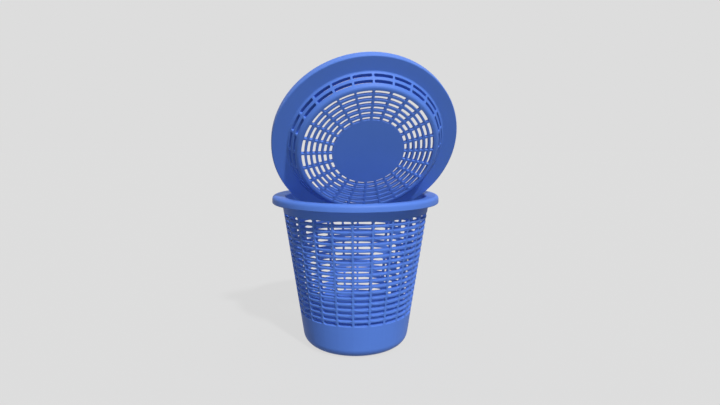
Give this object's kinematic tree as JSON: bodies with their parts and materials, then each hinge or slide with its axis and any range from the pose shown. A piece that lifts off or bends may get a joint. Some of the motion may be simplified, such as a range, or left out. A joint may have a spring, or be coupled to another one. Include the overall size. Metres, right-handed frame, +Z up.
{
  "type": "wastebasket",
  "caption": "Round tapered plastic wastebasket with a latticed wall and a rolled rim, and a loose vented dome lid leaning in its mouth.",
  "frame": {"origin": "on the basket's axis, at the underside of its floor", "axes": "+Z up along the basket's axis, -Y towards the side that the lid's dome faces, +X to the right seen from there"},
  "size_m": [0.324, 0.3, 0.503],
  "materials": {
    "blue_plastic": "matte"
  },
  "bodies": {
    "basket": {"basket_rim": "blue_plastic", "basket_upper_band": "blue_plastic", "basket_wall_lattice": "blue_plastic", "basket_lower_band": "blue_plastic", "basket_corner": "blue_plastic", "basket_floor": "blue_plastic"},
    "lid": {"lid_lip": "blue_plastic", "lid_brim": "blue_plastic", "lid_wall_lattice": "blue_plastic", "lid_shoulder": "blue_plastic", "lid_grille": "blue_plastic", "lid_disc": "blue_plastic"}
  },
  "joints": [
    {"name": "lid_lift", "type": "slide", "parent": "basket", "child": "lid", "axis": [0, 0, 1], "range_m": [0, 0.3]}
  ]
}
